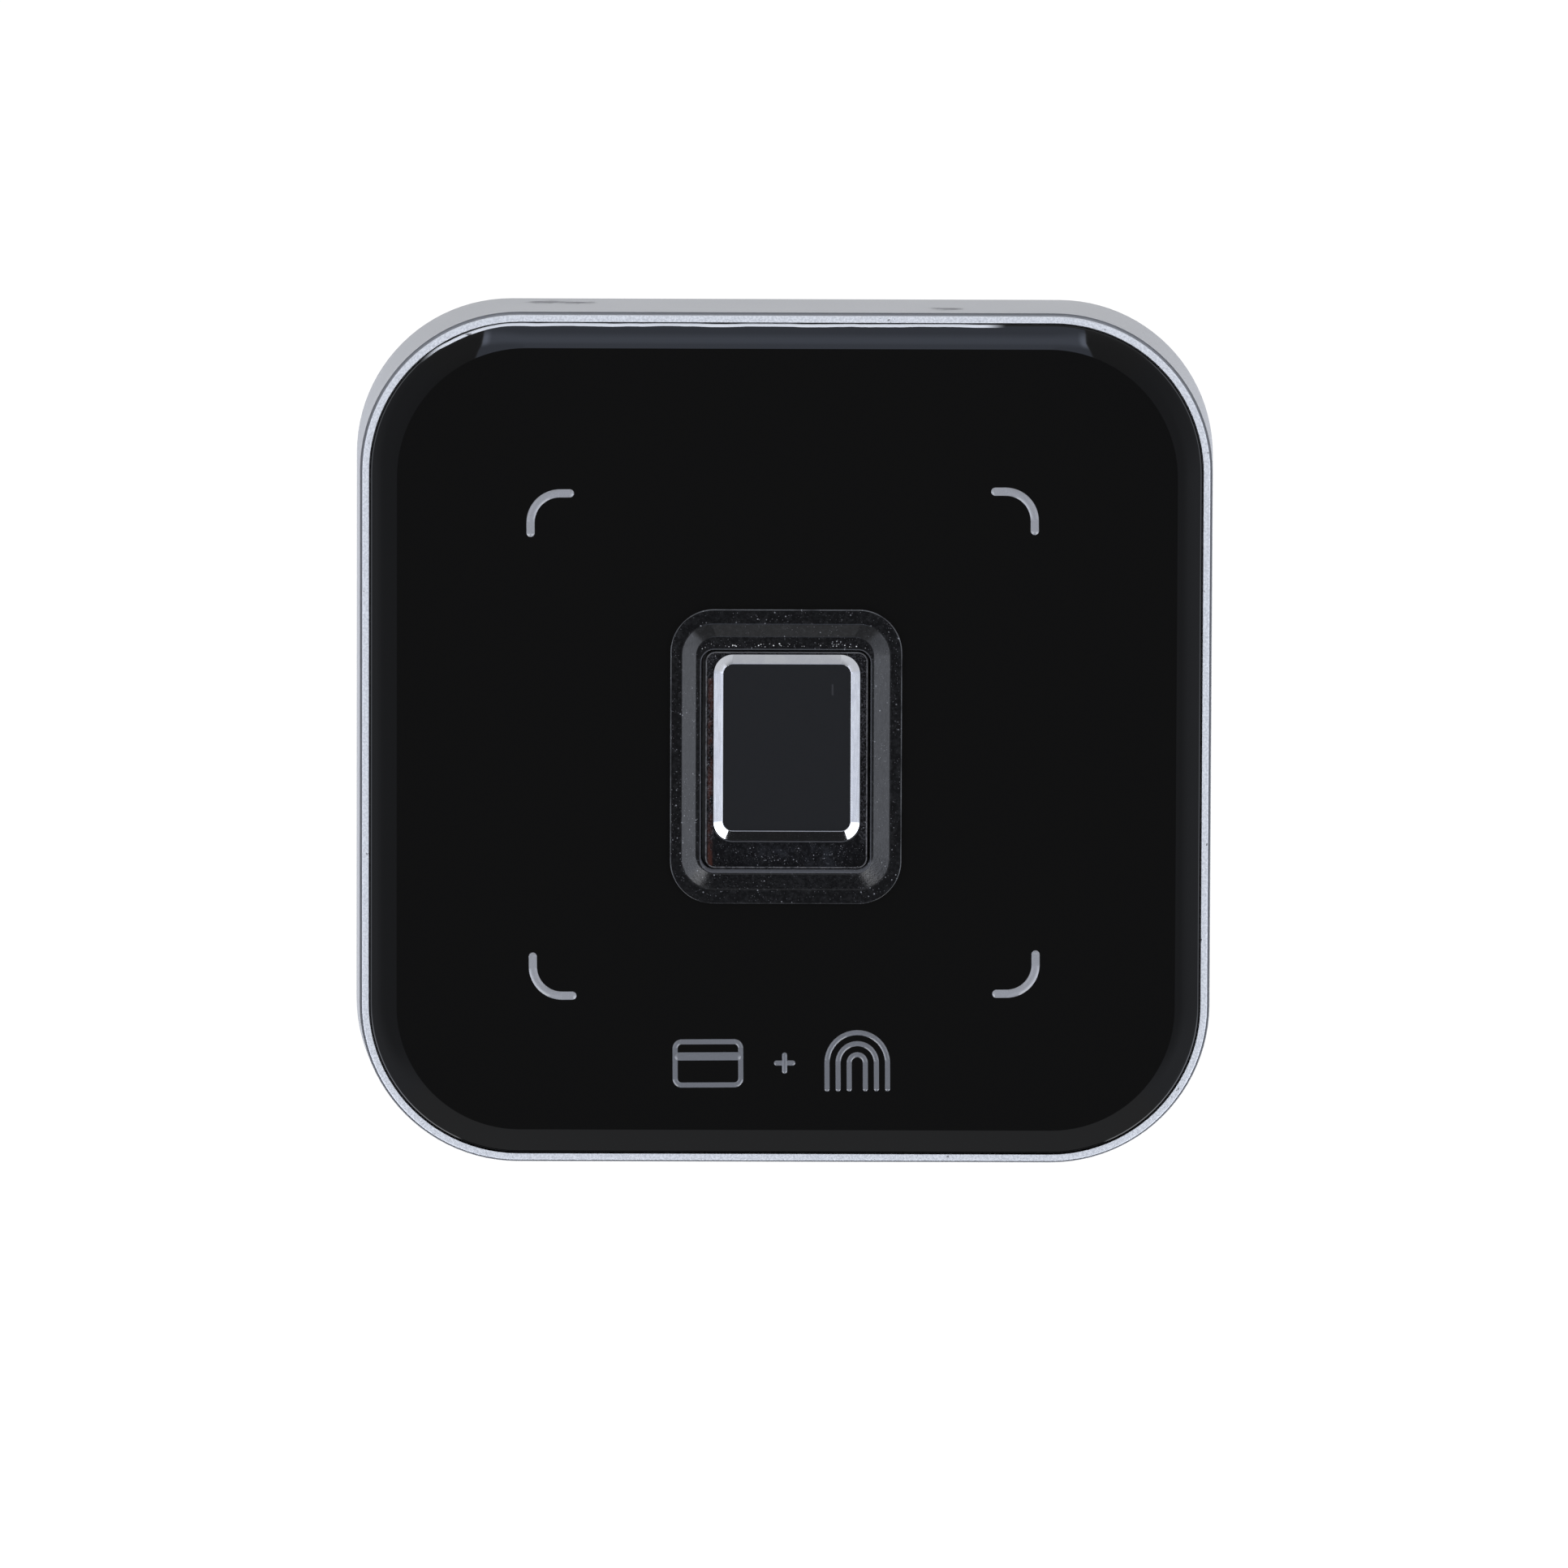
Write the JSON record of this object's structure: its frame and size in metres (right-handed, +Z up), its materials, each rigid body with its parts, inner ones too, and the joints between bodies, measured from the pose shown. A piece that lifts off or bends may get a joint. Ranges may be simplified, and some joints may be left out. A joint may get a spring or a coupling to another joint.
{
  "type": "fingerprint scanner terminal",
  "caption": "Wall-mounted fingerprint and card reader with a square glass front, a framed finger sensor and a hook-on steel wall bracket.",
  "frame": {"origin": "middle of the wall bracket's rear face, midway between the wall box screws, on the wall", "axes": "+Z up, +X to the right as seen from the front, +Y into the wall, so the front faces -Y"},
  "size_m": [0.086, 0.022, 0.086],
  "materials": {
    "bracket_steel": "zinc plated sheet",
    "screw_steel": "nickel plated",
    "cover_plastic": "fine moulded texture",
    "seal_rubber": "soft matte",
    "label_white": "blank printed film",
    "shell_grey": "matte painted, light grey",
    "rim_silver": "metallic silver paint with fine grain",
    "tape_grey": "foam tape",
    "glass_black": "polished, printed black behind",
    "ink_marks": "screen printed under the gloss",
    "ink_icons": "screen printed under the gloss",
    "bezel_black": "satin, dusty",
    "carrier_black": "glossy, dusty",
    "ring_chrome": "bright chamfer",
    "window_grey": "fine matte coating",
    "flex_amber": "polyimide film",
    "connector_ivory": "moulded nylon",
    "board_green": "solder mask",
    "copper": "etched copper",
    "pin_gold": "gold plated",
    "ferrite_grey": "sintered, matte",
    "chip_black": "moulded epoxy",
    "can_metal": "drawn can",
    "component_tan": "ceramic",
    "led_white": "clear resin",
    "guide_clear": "frosted acrylic",
    "buzzer_black": "moulded",
    "plunger_white": "acetal",
    "spring_steel": "spring wire"
  },
  "bodies": {
    "bracket": {"wall_bracket": "bracket_steel", "lock_screw": "screw_steel"},
    "reader": {"rear_cover": "cover_plastic", "rear_cover_seal": "seal_rubber", "rear_cover_screws": "screw_steel", "rating_label": "label_white", "main_housing": "shell_grey", "front_frame": "rim_silver", "frame_screws": "screw_steel", "glass_tape": "tape_grey", "front_glass": "glass_black", "card_area_marks": "ink_marks", "function_icons": "ink_icons", "sensor_frame": "bezel_black", "sensor_gasket": "seal_rubber", "sensor_carrier": "carrier_black", "sensor_ring": "ring_chrome", "sensor_chip": "chip_black", "sensor_window": "window_grey", "sensor_retainer": "bracket_steel", "retainer_screws": "screw_steel", "sensor_flex": "flex_amber", "sensor_connector": "connector_ivory", "main_board": "board_green", "board_screws": "screw_steel", "antenna_board": "board_green", "antenna_coil": "copper", "antenna_pins": "pin_gold", "ferrite_sheet": "ferrite_grey", "main_processor": "chip_black", "memory_chip": "chip_black", "card_reader_chip": "chip_black", "interface_chip": "chip_black", "crystal": "can_metal", "power_inductor": "ferrite_grey", "power_capacitors": "can_metal", "small_components": "component_tan", "status_leds": "led_white", "light_guide": "guide_clear", "buzzer": "buzzer_black", "wiring_connector": "connector_ivory", "connector_pins": "pin_gold", "tamper_switch": "chip_black", "tamper_spring": "spring_steel"},
    "tamper": {"tamper_plunger": "plunger_white"}
  },
  "joints": [
    {"name": "reader_tilt", "type": "hinge", "parent": "bracket", "child": "reader", "pos_m": [0, -0.0024, 0.0384], "axis": [-1, 0, 0], "range_deg": [0, 12]},
    {"name": "tamper_slide", "type": "slide", "parent": "reader", "child": "tamper", "axis": [0, 1, 0], "range_m": [0, 0.0015], "stiffness_N_per_m": 60, "springref_m": 0.003, "deforming": ["tamper_spring"]}
  ]
}
